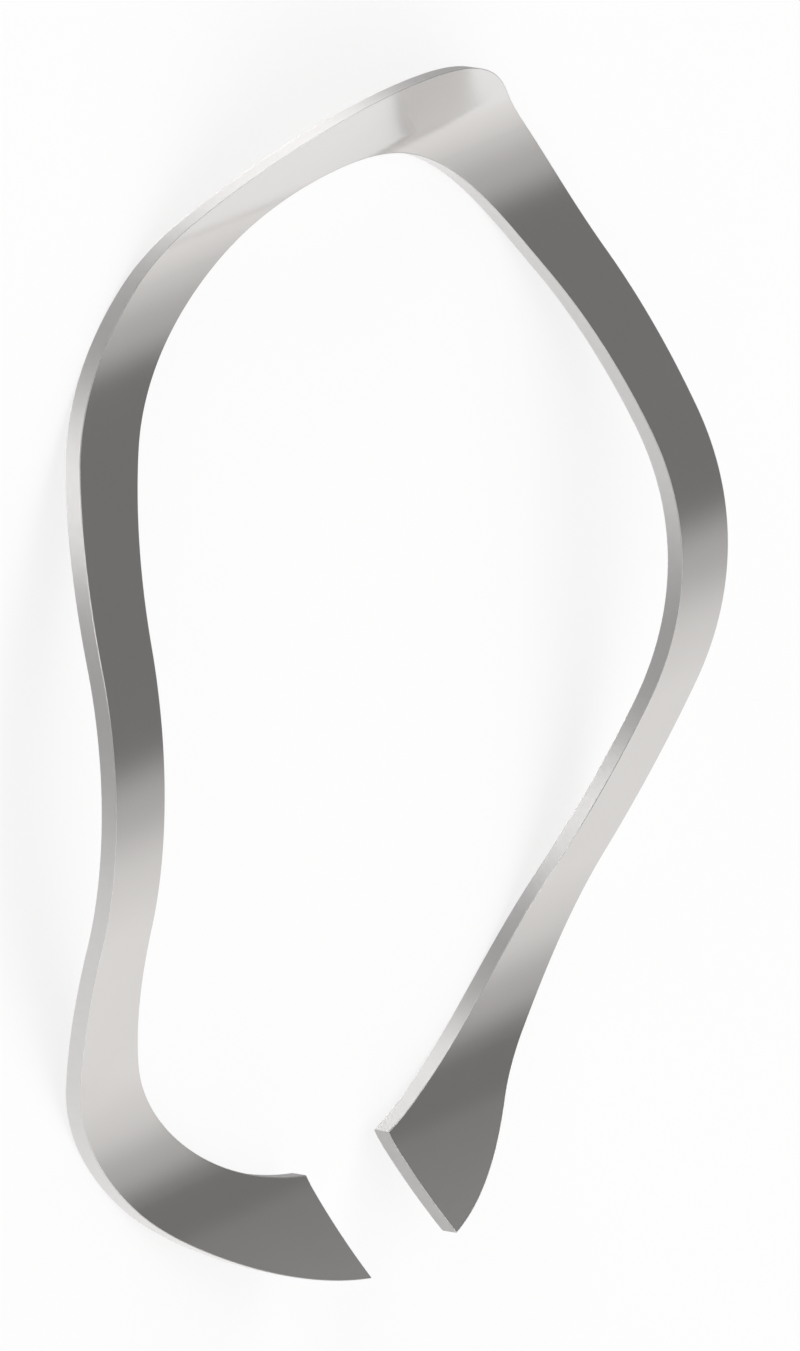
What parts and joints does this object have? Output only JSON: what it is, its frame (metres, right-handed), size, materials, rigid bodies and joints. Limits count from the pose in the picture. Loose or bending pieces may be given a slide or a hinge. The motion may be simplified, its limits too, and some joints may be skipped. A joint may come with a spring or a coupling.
{
  "type": "wave washer",
  "caption": "Split ring of flat spring steel strip, struck into shallow parallel waves with upturned lips, used to take up end play under light thrust.",
  "frame": {"origin": "on the washer's axis, level with the four places its waves rest on", "axes": "+Z along the washer's axis, from the feet to the crests; +X along the wave, out through the split; Y along the wave's lines"},
  "size_m": [0.0463, 0.0464, 0.005],
  "materials": {
    "spring_steel": "satin, fine grain, edges left as sheared"
  },
  "bodies": {
    "root": {"wave_washer": "spring_steel"}
  },
  "joints": []
}
